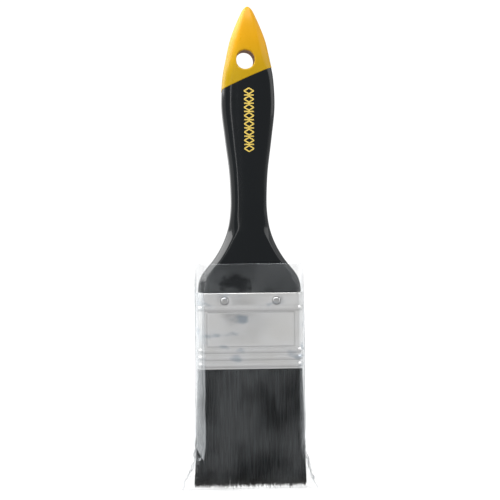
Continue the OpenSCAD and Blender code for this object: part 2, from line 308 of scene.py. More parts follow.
def noise_at(add, link, scale, stretch=(1, 1, 1), detail=3.0, rough=0.5, shift=(0, 0, 0)):
    """A noise whose grain size is in the object's own metres, stretched along its axes."""
    where = add("ShaderNodeTexCoord")
    mapping = add("ShaderNodeMapping")
    mapping.inputs["Location"].default_value = shift
    mapping.inputs["Scale"].default_value = stretch
    grain = add("ShaderNodeTexNoise", Scale=scale, Detail=detail, Roughness=rough)
    link(where.outputs["Object"], mapping.inputs["Vector"])
    link(mapping.outputs[0], grain.inputs["Vector"])
    return grain.outputs[0]


def ramp(add, link, source, *stops):
    """Turns a value into a colour. Each stop is a position and its colour."""
    node = add("ShaderNodeValToRGB")
    elements = node.color_ramp.elements
    while len(elements) < len(stops):
        elements.new(0.5)
    for element, (position, colour) in zip(elements, stops):
        element.position = position
        element.color = (*colour, 1)
    link(source, node.inputs[0])
    return node.outputs[0]


def bump(add, link, height, distance, strength=1.0, under=None):
    """Tilts the surface after a height, on top of another bump if there is one under it."""
    node = add("ShaderNodeBump", Strength=strength, Distance=distance)
    link(height, node.inputs["Height"])
    if under is not None:
        link(under, node.inputs["Normal"])
    return node.outputs[0]


def along_z(add, link, start, end):
    """A smooth 0 to 1 between two levels of the piece."""
    split = add("ShaderNodeSeparateXYZ")
    link(add("ShaderNodeTexCoord").outputs["Object"], split.inputs[0])
    return spread(add, link, split.outputs["Z"], 0.0, 1.0, start, end, "SMOOTHSTEP")


# %% [markdown]
# ## The floor
# The floor is a pale disc well below the brush. A lit floor would never be quite white, so it
# glows instead: white to the camera, and dimmer to the brush that hangs over it.

# %% Floor
floor_z, floor_r = -360 * mm, 500 * mm
floor_glow = 0.45


def make_floor():
    mesh = bpy.data.meshes.new("floor")
    bm = bmesh.new()
    bmesh.ops.create_circle(bm, cap_ends=True, radius=floor_r, segments=96)
    bm.to_mesh(mesh)
    bm.free()
    floor = bpy.data.objects.new("floor", mesh)
    floor.location.z = floor_z
    bpy.context.scene.collection.objects.link(floor)
    material = bpy.data.materials.new("pale_floor")
    add, link = nodes_of(material)
    seen = add("ShaderNodeLightPath").outputs["Is Camera Ray"]
    glow = add("ShaderNodeEmission")
    link(spread(add, link, seen, floor_glow, studio_white), glow.inputs["Strength"])
    link(glow.outputs[0], add("ShaderNodeOutputMaterial").inputs[0])
    mesh.materials.append(material)
    print(f"floor: {2 * floor_r:.1f} m wide, {-floor_z / mm:.0f} mm below the hole")


make_floor()

# %% [markdown]
# ## The handle's shape
# The handle is turned, sanded and then dipped. Its outline has to be the solid model's, so its
# half width and half thickness are read off the model's own rings. Between rings they are
# smoothed over a few millimetres, because gloss lacquer shows every kink as a bent highlight.
# On the belly the edges are round. Along the shoulder and the tip they are sanded flat, so the
# section changes its edge from an ellipse to a bevel there.

# %% Measure the handle
# Only whole rings count, clear of the hang hole and of the end of the tang.
full_ring = 30
ring_clear = 0.8 * mm


def read_outline():
    """Levels with the half width and half thickness of the CAD handle there."""
    rings = {}
    for vertex in frame["nodes"]["handle"].data.vertices:
        rings.setdefault(round(vertex.co.z, 5), []).append(vertex.co)
    rows = []
    for z, points in sorted(rings.items()):
        whole = len(points) >= full_ring and abs(z) > hole_r + ring_clear
        if whole and z > tang_end + ring_clear:
            rows.append((z, max(abs(p.x - axis_x) for p in points), max(abs(p.y) for p in points)))
    return np.array(rows)


outline = read_outline()
print(f"{len(outline)} rings, widest {outline[:, 1].max() * 2 / mm:.1f} mm")

# %% Smooth the outline
dip_level = -8.9 * mm
nose_len = 3.0 * mm
nose_z = tip_z - nose_len
tang_drop = 4 * mm
fine_z = np.arange(ferrule_top - 30 * mm, nose_z, 0.25 * mm)
window_count = 25
slope_count = 9
nose_blunt = 0.12


def smoothed(column):
    """A column of the outline at the fine levels, smoothed except for the step at the ferrule."""
    values = np.interp(fine_z, outline[:, 0], outline[:, column])
    window = np.hanning(window_count)
    padded = np.pad(values, window_count // 2, mode="reflect", reflect_type="odd")
    fine = np.convolve(padded, window / window.sum(), mode="valid")
    widest = fine_z[np.argmax(fine * (fine_z < dip_level))]
    shoulder = (fine_z >= ferrule_top) & (fine_z < widest)
    fine[shoulder] = np.maximum(fine[shoulder], fine[fine_z == widest])
    tang = fine_z < ferrule_top
    fine[tang] = np.minimum(fine[tang], values[np.searchsorted(fine_z, ferrule_top - tang_drop)])
    return fine


fine_width, fine_depth = smoothed(1), smoothed(2)


def handle_half(z):
    """Half width and half thickness of the handle at a level, rounded off at the tip."""
    width = float(np.interp(z, fine_z, fine_width))
    depth = float(np.interp(z, fine_z, fine_depth))
    if z <= nose_z:
        return width, depth
    past = z - fine_z[-1]
    run = fine_z[-1] - fine_z[-slope_count]
    share = min(1.0, (z - nose_z) / nose_len)
    closing = max(nose_blunt, math.sqrt(1 - share**3))
    width += past * (fine_width[-1] - fine_width[-slope_count]) / run
    depth += past * (fine_depth[-1] - fine_depth[-slope_count]) / run
    return width * closing, depth * closing


print(f"{len(fine_z)} fine levels, narrowest {fine_width.min() * 2 / mm:.1f} mm")

# %% Section of the handle
edge_x, edge_x_share = 6.2 * mm, 0.48
edge_y, edge_y_share = 2.7 * mm, 0.8
bevel_x, bevel_y, bevel_flat = 3.1 * mm, 3.3 * mm, 0.75
shoulder_start, shoulder_run = -74 * mm, 14 * mm
tip_start, tip_run, tip_bevel = -10 * mm, 14 * mm, 0.55
crown, crown_width = 0.45 * mm, 12 * mm


def bevel(z):
    """0 on the belly, where the edge is round, and up to 1 on the shoulder, where it is flat."""
    shoulder = smoothstep((shoulder_start - z) / shoulder_run)
    return max(shoulder, tip_bevel * smoothstep((z - tip_start) / tip_run))


def section_size(z):
    """Half width, half thickness, the edge's two radii and the crown of the section at a level."""
    width, depth = handle_half(z)
    rise = crown * min(1.0, width / crown_width)
    rx, ry = mix(edge_x, bevel_x, bevel(z)), mix(edge_y, bevel_y, bevel(z))
    return width, depth, min(rx, edge_x_share * width), min(ry, edge_y_share * depth), rise


def face_height(x, z, grow=0.0):
    """How far the front or back face stands from the middle plane, with x from the centre line."""
    width, depth, rx, ry, rise = section_size(z)
    flat = width - rx
    if abs(x) <= flat:
        return depth + grow - rise * (x / flat) ** 2
    over = min(abs(x) - flat, rx) / rx
    power = 1 + bevel_flat * bevel(z)
    return depth + grow - rise - ry + ry * (1 - over ** (2 / power)) ** (power / 2)


for level in (dip_level, shoulder_start, ferrule_top):
    print(f"at {level / mm:.0f} mm the handle is {2 * face_height(0, level) / mm:.1f} mm thick")

# %% [markdown]
# ## A grid with a hole in it
# Cutting the hang hole with a boolean would leave long thin faces round its rim, and they show
# in gloss. So the grid is planned with the hole in mind: a window of its rows and columns is
# left out on both faces, and rings run from the window's edge to the rim, round over it and
# into the bore. The rows near the dip line are tilted, so that one row lies exactly on it.

# %% Plan the columns
dip_slant = math.tan(math.radians(24.5))
dip_lean = math.tan(math.radians(6)) / math.cos(math.radians(24.5))
tilt_reach, tilt_rounds = 16 * mm, 3
window_half, window_rows = 7 * mm, 6
face_steps, corner_steps = 8, 5


def plan_columns():
    """Each column is a share of the way along a face, round a corner or across a side."""
    face = [2 * k / face_steps - 1 for k in range(face_steps + 1)]
    turn = [k / corner_steps for k in range(1, corner_steps)]
    plan = []
    for side, end in ((1, -1), (-1, 1)):
        plan += [("face", side, end, share * side) for share in face]
        plan += [("corner", side, end, share) for share in turn]
        plan += [("side", side, end, share * side) for share in (-1, 0, 1)]
        plan += [("corner", side, -end, share) for share in reversed(turn)]
    return plan


columns = plan_columns()
print(f"{len(columns)} columns round the handle")


def section_point(column, z, grow):
    """Where a column meets a level, x from the centre line and y, with the skin grown outwards."""
    kind, side, end, share = columns[column]
    width, depth, rx, ry, rise = section_size(z)
    if kind == "face":
        return share * (width - rx), end * (depth + grow - rise * share * share)
    if kind == "side":
        return side * (width + grow), share * (depth - rise - ry)
    angle = share * math.pi / 2
    power = 1 + bevel_flat * bevel(z)
    x = width - rx + (rx + grow) * math.sin(angle) ** power
    return side * x, end * (depth - rise - ry + (ry + grow) * math.cos(angle) ** power)


def tilted_point(column, level, grow):
    """A point of a row that leans with the dip line, found by asking for its height again."""
    tilt = smoothstep(1 - abs(level - dip_level) / tilt_reach)
    z = level
    for _ in range(tilt_rounds):
        x, y = section_point(column, z, grow)
        z = level + tilt * (x * dip_slant - y * dip_lean)
    return Vector((axis_x + x, y, z))


# %% Plan the rows
def steps(start, stop, size):
    """Levels from start to stop, both kept, about size apart."""
    return list(np.linspace(start, stop, max(2, round(abs(stop - start) / size) + 1)))


row_gap, nose_rows = 2.4 * mm, 5
window_levels = steps(-window_half, window_half, 2 * window_half / window_rows)
nose_turns = [math.pi / 2 * k / nose_rows for k in range(1, nose_rows + 1)]
nose_levels = [nose_z + nose_len * math.sin(turn) for turn in nose_turns]
levels_above_dip = window_levels + steps(window_half, nose_z, row_gap)[1:] + nose_levels
# Rows crowd together at the ferrule, so that subdividing keeps the step there sharp.
levels_below_dip = [tang_end, ferrule_top - tang_drop]
levels_below_dip += [ferrule_top + rise * mm for rise in (-0.4, 0.15, 0.4, 0.9)]
levels_below_dip += steps(ferrule_top + row_gap, dip_level, 2.6 * mm)
print(f"{len(levels_below_dip)} rows below the dip line, {len(levels_above_dip)} above it")

# %% Build a handle grid
rim_r = 0.55 * mm
bore_steps = 5


def add_window(points, faces, corner, face_end, grow):
    """Rings from the left-out window to the rim of the hole. Returns the last ring's indices."""
    n = len(columns)
    low, left = corner
    loop = [low * n + left + j for j in range(face_steps)]
    loop += [(low + i) * n + left + face_steps for i in range(window_rows)]
    loop += [(low + window_rows) * n + left + face_steps - j for j in range(face_steps)]
    loop += [(low + window_rows - i) * n + left for i in range(window_rows)]
    rim = hole_r + rim_r
    angles = [math.atan2(points[k].z, points[k].x) for k in loop]
    rings = [loop]
    for share in (0.4, 0.75, 1.0):
        ring = []
        for k, angle in zip(loop, angles):
            x = mix(points[k].x, rim * math.cos(angle), share)
            z = mix(points[k].z, rim * math.sin(angle), share)
            ring.append(len(points))
            points.append(Vector((x, face_end * face_height(x - axis_x, z, grow), z)))
        rings.append(ring)
    for turn in (30, 60, 90):
        bend = math.radians(turn)
        radius = rim - (rim_r + grow) * math.sin(bend)
        ring = []
        for angle in angles:
            x, z = rim * math.cos(angle), rim * math.sin(angle)
            y = face_height(x - axis_x, z) - rim_r + (rim_r + grow) * math.cos(bend)
            ring.append(len(points))
            points.append(Vector((radius * math.cos(angle), face_end * y, radius * math.sin(angle))))
        rings.append(ring)
    for a, b in zip(rings, rings[1:]):
        faces += [(a[k - 1], a[k], b[k], b[k - 1]) for k in range(len(a))]
    return rings[-1], angles


def handle_grid(rows):
    """Points and faces of the handle through rows of (level, growth), with the window left out."""
    n = len(columns)
    points = [tilted_point(c, level, grow) for level, grow in rows for c in range(n)]
    low = next(i for i, row in enumerate(rows) if row[0] == window_levels[0])
    back_left = n // 2
    faces = []
    for i in range(len(rows) - 1):
        for j in range(n):
            in_window = low <= i < low + window_rows and j % back_left < face_steps
            if not in_window:
                k = (j + 1) % n
                faces.append((i * n + j, i * n + k, (i + 1) * n + k, (i + 1) * n + j))
    faces.append(tuple((len(rows) - 1) * n + j for j in range(n)))
    ends = [add_window(points, faces, (low, 0), -1, rows[low][1])]
    ends.append(add_window(points, faces, (low, back_left), 1, rows[low][1]))
    return points, faces, ends


def add_bore(points, faces, ends):
    """Joins the two rims through the wood. The back ring runs the other way round."""
    (front, _), (back, _) = ends
    count = len(front)
    back = [back[face_steps - k] for k in range(count)]
    rings = [front]
    for step in range(1, bore_steps):
        ring = []
        for k in range(count):
            ring.append(len(points))
            points.append(points[front[k]].lerp(points[back[k]], step / bore_steps))
        rings.append(ring)
    rings.append(back)
    first = len(faces)
    for a, b in zip(rings, rings[1:]):
        faces += [(a[k - 1], a[k], b[k], b[k - 1]) for k in range(count)]
    return first


# %% [markdown]
# ## Black lacquer and raw wood
# The lacquer is thin, hard and very dark, so nearly all one sees of it is reflection. The shader
# is a dark base under a clear coat. Fine dust nibs and the ghost of the wood's grain under the
# coat break the reflections, as they do on a cheap dipped handle.

# %% Lacquer and wood
def black_lacquer():
    """Nearly black under a clear coat, with grain and dust nibs in the gloss."""
    material, shader, add, link = new_material("black_lacquer")
    tone = ramp(add, link, noise_at(add, link, 60, (1, 1, 0.15)), (0.3, (0.0015, 0.0032, 0.0046)),
                (0.8, (0.0030, 0.0050, 0.0066)))
    link(tone, shader.inputs["Base Color"])
    rough = spread(add, link, noise_at(add, link, 400, detail=4), 0.10, 0.20)
    link(rough, shader.inputs["Roughness"])
    grain = bump(add, link, noise_at(add, link, 900, (1, 1, 0.04), 2), 0.03 * mm, 0.12)
    nibs = bump(add, link, noise_at(add, link, 260, detail=2), 0.05 * mm, 0.18, grain)
    link(nibs, shader.inputs["Normal"])
    shader.inputs["Specular IOR Level"].default_value = 0.32
    shader.inputs["Coat Weight"].default_value = 0.35
    shader.inputs["Coat Roughness"].default_value = 0.06
    return material


def raw_wood(name="raw_wood", light=(0.42, 0.25, 0.16), dark=(0.20, 0.11, 0.07)):
    """Bare wood with its grain along the brush."""
    material, shader, add, link = new_material(name)
    grain = noise_at(add, link, 700, (1, 1, 0.08), 5, 0.6)
    link(ramp(add, link, grain, (0.35, dark), (0.7, light)), shader.inputs["Base Color"])
    link(bump(add, link, grain, 0.15 * mm, 0.6), shader.inputs["Normal"])
    shader.inputs["Roughness"].default_value = 0.8
    return material


# %% Make the handle
def make_handle():
    rows = [(level, 0.0) for level in levels_below_dip + levels_above_dip]
    points, faces, ends = handle_grid(rows)
    faces.append(tuple(reversed(range(len(columns)))))
    bore = add_bore(points, faces, ends)
    kinds = [1 if i >= bore else 0 for i in range(len(faces))]
    handle = mesh_object("lacquered_handle", points, faces, [black_lacquer(), raw_wood()], kinds)
    face_outwards(handle)
    subdivide(handle, 2)
    place(handle, "brush", "black_lacquered_wood", "handle")


make_handle()

# %% [markdown]
# ## The yellow dip
# The tip was dipped a second time, at a slant. Paint that drains off a dipped edge leaves a
# fatter lip there, so the coat is a skin of its own: the same grid, grown by its thickness,
# which swells a little at the line and then turns down onto the black.

# %% Yellow lacquer
def yellow_lacquer():
    """Yellow that turns deeper down towards the dip line."""
    material, shader, add, link = new_material("yellow_lacquer")
    tone = ramp(add, link, noise_at(add, link, 90, detail=4), (0.3, (0.69, 0.335, 0.0008)),
                (0.75, (0.74, 0.36, 0.0015)))
    thin = add("ShaderNodeMix", data_type="RGBA", blend_type="MULTIPLY")
    thin.inputs["B"].default_value = (0.68, 0.86, 1.0, 1)
    link(along_z(add, link, 14 * mm, dip_level), thin.inputs["Factor"])
    link(tone, thin.inputs["A"])
    link(thin.outputs["Result"], shader.inputs["Base Color"])
    link(spread(add, link, noise_at(add, link, 350), 0.24, 0.34), shader.inputs["Roughness"])
    shader.inputs["Specular IOR Level"].default_value = 0.26
    flow = bump(add, link, noise_at(add, link, 180, (1, 1, 0.4), 2), 0.06 * mm, 0.25)
    link(flow, shader.inputs["Normal"])
    shader.inputs["Coat Weight"].default_value = 0.10
    shader.inputs["Coat Roughness"].default_value = 0.12
    return material


# %% Dip coat
coat_t, lip_t = 0.13 * mm, 0.2 * mm
bore_gap, bore_reach = 0.05 * mm, 0.3 * mm


def make_dip_coat():
    lip = [(dip_level - 0.10 * mm, -0.05 * mm), (dip_level, 0.6 * lip_t),
           (dip_level + 0.25 * mm, lip_t), (dip_level + 0.9 * mm, coat_t)]
    rows = lip + [(level, coat_t) for level in levels_above_dip]
    points, faces, ends = handle_grid(rows)
    for ring, angles in ends:
        inner = []
        for k, angle in zip(ring, angles):
            deeper = points[k].y - math.copysign(bore_reach, points[k].y)
            inner.append(len(points))
            wall = hole_r + bore_gap
            points.append(Vector((wall * math.cos(angle), deeper, wall * math.sin(angle))))
        faces += [(ring[k - 1], ring[k], inner[k], inner[k - 1]) for k in range(len(ring))]
    coat = mesh_object("yellow_dip_coat", points, faces, [yellow_lacquer()])
    face_outwards(coat)
    subdivide(coat, 2)
    place(coat, "brush", "yellow_dip_lacquer", "tip_dip_coat")


make_dip_coat()

# %% [markdown]
# ## The stamped foil
# A hot stamp presses metal foil into the lacquer. The pattern here is a plain band of lozenges
# and bars. Each stroke is a thin strip laid on the face and a hair proud of it, and it follows
# the crown of the face because every point of it asks for the face's own height.

# %% Gold foil
def gold_foil():
    """Gold that is worn through to a darker tone in places."""
    material, shader, add, link = new_material("gold_foil")
    wear = noise_at(add, link, 1500, detail=4, rough=0.7)
    tone = ramp(add, link, wear, (0.2, (0.45, 0.30, 0.03)), (0.5, (0.95, 0.70, 0.15)))
    link(tone, shader.inputs["Base Color"])
    link(spread(add, link, wear, 0.55, 0.3), shader.inputs["Roughness"])
    shader.inputs["Metallic"].default_value = 0.3
    return material


# %% Foil band
foil_t = 0.02 * mm
band_top, band_end = -13.2 * mm, -44.6 * mm
band_half = 2.3 * mm
stroke, stroke_step = 0.62 * mm, 0.5 * mm
motifs, motif_share = 8, 0.36


def strip(points, faces, start, end, width):
    """A flat strip on the front face from start to end, each (x, z) with x off the centre line."""
    a, b = Vector(start), Vector(end)
    along = (b - a).normalized()
    across = Vector((-along.y, along.x)) * width / 2
    count = max(2, round((b - a).length / stroke_step))
    first = len(points)
    for i in range(count + 1):
        middle = a.lerp(b, i / count)
        for shift, sink in ((-1, 1), (-1, 0), (1, 0), (1, 1)):
            x, z = middle + across * shift
            y = -face_height(x, z) - foil_t + sink * 2 * foil_t
            points.append(Vector((axis_x + x, y, z)))
    faces += grid_faces(count + 1, 4, closed=False, first=first)


def make_foil():
    points, faces = [], []
    pitch = (band_top - band_end) / motifs
    for i in range(motifs):
        middle = band_top - (i + 0.5) * pitch
        tall = motif_share * pitch
        tips = [(0, middle + tall), (band_half, middle), (0, middle - tall), (-band_half, middle)]
        for k in range(4):
            strip(points, faces, tips[k - 1], tips[k], stroke)
        if i:
            strip(points, faces, (-band_half, middle + pitch / 2), (band_half, middle + pitch / 2),
                  stroke)
    foil = mesh_object("foil_band", points, faces, [gold_foil()], smooth=False)
    face_outwards(foil)
    place(foil, "brush", "black_lacquered_wood")


make_foil()

# %% [markdown]
# ## The ferrule
# The ferrule is thin bright sheet, rolled into beads that stiffen it, with a raised panel on
# both faces and a folded seam up one narrow side. Everything on it is a small rise or fall of
# the same wall, so it is one fine grid round a rounded rectangle, pushed in and out by a relief
# function. A faint waviness of the wall is what makes thin metal look thin.

# %% Ferrule relief
bead_h, bead_w = 0.36 * mm, 2.6 * mm
bead_levels = [ferrule_top - 7.2 * mm] + [ferrule_mouth + d * mm for d in (9.0, 5.6, 2.2)]
proud = 0.6 * mm
wall_half_x = (ferrule_high.x - ferrule_low.x) / 2 - proud
wall_half_y = (ferrule_high.y - ferrule_low.y) / 2 - proud
corner_r, wall_t = 4 * mm, 0.35 * mm
panel_half_x, panel_rise, panel_edge = 20.8 * mm, 0.28 * mm, 0.5 * mm
panel_gap = 1.9 * mm
panel_top = bead_levels[0] - panel_gap
panel_end = bead_levels[1] + panel_gap
seam_half, seam_rise = 1.6 * mm, 0.3 * mm
nail_low, nail_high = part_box("nail_front_right")
nail_x = (nail_low.x + nail_high.x) / 2 - axis_x
nail_z = (nail_low.z + nail_high.z) / 2
dish_depth, dish_r = 0.10 * mm, 1.7 * mm
rolled_in, top_roll, mouth_roll = 0.16 * mm, 0.7 * mm, 0.5 * mm
wave_h, wave_len = 0.035 * mm, 13 * mm
print(f"wall {2 * wall_half_x / mm:.1f} x {2 * wall_half_y / mm:.1f} mm, {len(bead_levels)} beads")


def line_at(distance, width):
    """1 on a line and 0 half its width away from it."""
    return smoothstep(1 - abs(distance) / (width / 2))


def edge_fade(distance, width):
    """1 well inside an edge and 0 outside it, where distance is counted inwards."""
    return smoothstep(0.5 + distance / width)


def relief(x, y, z):
    """How far the wall stands out at a place, with x from the centre line."""
    rise = 0.0
    for level in bead_levels:
        if abs(z - level) < bead_w / 2:
            rise += bead_h * math.cos(math.pi * (z - level) / bead_w) ** 2
    on_face = abs(x) < wall_half_x - corner_r
    if on_face:
        inside = edge_fade(panel_half_x - abs(x), panel_edge)
        inside *= edge_fade(min(panel_top - z, z - panel_end), panel_edge)
        rise += panel_rise * inside
        for side in (-1, 1):
            away = math.hypot(x - side * nail_x, z - nail_z)
            rise -= dish_depth * math.exp(-((away / dish_r) ** 2))
    elif x > 0 and abs(y) < seam_half + panel_edge:
        rise += seam_rise * edge_fade(seam_half - abs(y), panel_edge)
    rolled = max(0.0, 1 - (ferrule_top - z) / top_roll, 1 - (z - ferrule_mouth) / mouth_roll)
    wave = noise.noise(Vector((x, 3 * y, z)) / wave_len) * wave_h
    return rise + wave - rolled_in * rolled**2


# %% Rings with round corners
def round_box(half_x, half_y, r, face_count, side_count, corner_count):
    """Points (x, y) and their outward directions round a rectangle with round corners."""
    places = []
    for k, (sx, sy) in enumerate(((1, -1), (1, 1), (-1, 1), (-1, -1))):
        count = side_count if k % 2 else face_count
        length = 2 * ((half_y if k % 2 else half_x) - r)
        out = [(0, -1), (1, 0), (0, 1), (-1, 0)][k]
        along = (-out[1], out[0])
        reach = half_x if k % 2 else half_y
        for i in range(count):
            t = (i / count - 0.5) * length
            places.append(((out[0] * reach + along[0] * t, out[1] * reach + along[1] * t), out))
        start = math.atan2(out[1], out[0])
        for i in range(corner_count):
            a = start + math.pi / 2 * i / corner_count
            d = (math.cos(a), math.sin(a))
            places.append(((sx * (half_x - r) + r * d[0], sy * (half_y - r) + r * d[1]), d))
    return places


# %% [markdown]
# ## Plated sheet
# The sheet is tinned or zinc plated: bright, but never as clean as chrome. Rolling leaves fine
# lines across it and handling leaves bluish smudges. Round the panel, under the beads and round
# the nails the colour darkens, partly with polish and dust left behind and partly as painted shade
# of those creases. It is worked out for every point of the mesh and stored there as a number.

# %% Dust and painted shade in the creases
# Widths and shares of the dark lines, which are dust and painted shade together.
panel_dust_shade_w, panel_end_dust_shade_w = 0.7 * mm, 0.6 * mm
panel_dust_shade_reach = 0.3 * mm
bead_dust_shade_w, bead_foot = 0.8 * mm, 0.47 * bead_w
nail_dust_shade_r, nail_dust_shade_w = 1.85 * mm, 0.9 * mm
panel_end_share, bead_share, dust_shade_share = 0.7, 0.8, 0.7


def dust_and_shade(x, z):
    """How much dust and painted shade darken a place: round the panel, at each bead's foot and round
    the nails.
    """
    dark = 0.0
    if abs(x) < panel_half_x + panel_dust_shade_reach and panel_end < z < panel_top:
        dark = line_at(abs(x) - panel_half_x, panel_dust_shade_w)
    if abs(x) < panel_half_x:
        dark = max(dark, line_at(z - panel_top, panel_dust_shade_w))
        dark = max(dark, panel_end_share * line_at(z - panel_end, panel_end_dust_shade_w))
    for level in bead_levels:
        dark = max(dark, bead_share * line_at(z - level + bead_foot, bead_dust_shade_w))
    away = math.hypot(abs(x) - nail_x, z - nail_z)
    return max(dust_shade_share * dark, line_at(away - nail_dust_shade_r, nail_dust_shade_w))


# %% Ferrule metal
smudge_shift = (8.1 * mm, 0, 0)
# The second tone is dust together with painted shade in the creases.
smudge, dust_shade_tone = (0.55, 0.61, 0.67), (0.28, 0.28, 0.29)


def plated_metal(name="plated_sheet", rough_low=0.045, rough_high=0.10, metallic=0.66, pale=0.95):
    """Bright plating with rolled lines, soft dents, smudges, and dust with painted shade in its
    creases.
    """
    material, shader, add, link = new_material(name)
    # The stored share of dust and painted shade turns the tone towards the dark one.
    shade_dust_map = add("ShaderNodeAttribute", attribute_name="dust_and_shade")
    dusted_and_shaded = add("ShaderNodeMix", data_type="RGBA")
    dusted_and_shaded.inputs["B"].default_value = (*dust_shade_tone, 1)
    smudges = noise_at(add, link, 75, (1, 1, 1.7), 2, shift=smudge_shift)
    warmer = (pale - 0.05, pale - 0.06, pale - 0.08)
    tone = ramp(add, link, smudges, (0.3, warmer), (0.62, (pale,) * 3), (0.72, smudge))
    link(shade_dust_map.outputs["Fac"], dusted_and_shaded.inputs["Factor"])
    link(tone, dusted_and_shaded.inputs["A"])
    link(dusted_and_shaded.outputs["Result"], shader.inputs["Base Color"])
    rolled = noise_at(add, link, 800, (0.03, 0.03, 1), 3)
    link(spread(add, link, rolled, rough_low, rough_high), shader.inputs["Roughness"])
    lines = bump(add, link, rolled, 0.02 * mm, 0.12)
    dents = bump(add, link, noise_at(add, link, 120, detail=2), 0.06 * mm, 0.15, lines)
    link(dents, shader.inputs["Normal"])
    shader.inputs["Metallic"].default_value = metallic
    return material


# %% Make the ferrule
ferrule_row_gap = 0.3 * mm
ferrule_counts = (96, 20, 12)


def make_ferrule():
    ring = round_box(wall_half_x, wall_half_y, corner_r, *ferrule_counts)
    levels = steps(ferrule_mouth, ferrule_top, ferrule_row_gap)
    points = []
    for z in levels:
        for (x, y), out in ring:
            rise = relief(x, y, z)
            points.append((axis_x + x + out[0] * rise, y + out[1] * rise, z))
    ferrule = mesh_object("beaded_ferrule", points, grid_faces(len(levels), len(ring)),
                          [plated_metal()])
    # Each point keeps how much dust and painted shade darken it.
    shade_dust_map = ferrule.data.attributes.new("dust_and_shade", "FLOAT", "POINT")
    shade_dust_map.data.foreach_set("value", [dust_and_shade(x, z) for z in levels for (x, y), _ in ring])
    wall = ferrule.modifiers.new("sheet", "SOLIDIFY")
    wall.thickness = wall_t
    wall.offset = -1
    place(ferrule, "brush", "plated_ferrule", "ferrule")


make_ferrule()

# %% [markdown]
# ## The nails
# Four short nails hold the ferrule. The hammer leaves each domed head slightly flattened, and
# the sheet dished round it. A head is a profile turned round its own axis, which is quick to
# write and gives clean rings. Its points are radius and height over the sheet, in millimetres.

# %% Nails
nail_head = [(0.0, 0.45), (0.45, 0.46), (0.85, 0.46), (1.15, 0.43), (1.45, 0.31), (1.66, 0.12)]
nail_rim = [(1.70, 0.0), (1.62, -0.08), (0.72, -0.10)]
nail_shank = [(0.70, -0.4), (0.70, -3.4), (0.05, -5.4)]
nail_turns = 32
nail_sunk = 0.12 * mm


def make_nail(node):
    low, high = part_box(node)
    out = -1 if low.y + high.y < 0 else 1
    face_y = out * (wall_half_y - nail_sunk)
    profile = nail_head + nail_rim + nail_shank
    points = []
    for r, h in profile:
        for k in range(nail_turns):
            a = 2 * math.pi * k / nail_turns
            points.append(((low.x + high.x) / 2 + r * mm * math.cos(a), face_y + out * h * mm,
                           (low.z + high.z) / 2 + r * mm * math.sin(a)))
    nail = mesh_object(node.replace("nail", "domed_nail"), points,
                       grid_faces(len(profile), nail_turns), [nail_metal])
    bm = bmesh.new()
    bm.from_mesh(nail.data)
    bmesh.ops.remove_doubles(bm, verts=bm.verts, dist=0.001 * mm)
    bm.to_mesh(nail.data)
    bm.free()
    face_outwards(nail)
    place(nail, "brush", "steel_nail", node)


nail_metal = plated_metal("nail_steel", rough_low=0.14, rough_high=0.26, metallic=0.95, pale=0.72)
for node in ("nail_front_left", "nail_front_right", "nail_back_left", "nail_back_right"):
    make_nail(node)

# %% [markdown]
# ## The bristles
# A brush head is thousands of tapered filaments. Each one here is a thin three-sided tube, so
# the head has true gaps, streaks and a ragged end, and catches light along its length as hair
# does. Neighbours share a clump: they drift, lengthen and draw together at the tips alike.
# Filaments at the surface run the whole way. Those inside show only their tips, so they are
# short, and a dark core fills the space behind them.

# %% Shape of the pack
pack_gap = 0.1 * mm
pack_base = (wall_half_x - wall_t - pack_gap, wall_half_y - wall_t - pack_gap)
pack_tips = ((pack_high.x - pack_low.x) / 2 + 0.2 * mm, 4.5 * mm)
pack_corner, corner_share = 3 * mm, 0.42
bristle_len = ferrule_mouth - bristle_tip
rng = np.random.default_rng(5)
print(f"pack {2 * pack_base[0] / mm:.1f} mm wide at the top, {2 * pack_tips[0] / mm:.1f} at the tips")


def pack_half_at(t):
    """Half width and half thickness of the pack, t from 0 at the ferrule to 1 at the tips."""
    t = np.clip(t, 0, 1)
    return (mix(pack_base[0], pack_tips[0], t), mix(pack_base[1], pack_tips[1], t**1.4))


def round_off(a, b):
    """Moves shares of the half sizes off the pack's corners, so that the pack has round ones."""
    corner = np.maximum(0, np.abs(a) * pack_base[0] - (pack_base[0] - pack_corner)) / pack_corner
    return a, b * (1 - corner_share * corner**3)


# %% Filament mesh
# Lengths, drifts and sway are in millimetres. Gathering and taper are shares.
clumps_x, clumps_y, clump_kinds = 23, 4, 997
clump_longer, own_longer, trimmed = 0.30, 0.70, 1.05
gather_mean, gather_vary, gather_most = 0.16, 0.10, 0.4
clump_drift, own_drift, own_depth_drift = 0.22, 0.16, 0.10
sway_h, taper = 0.06, 0.62


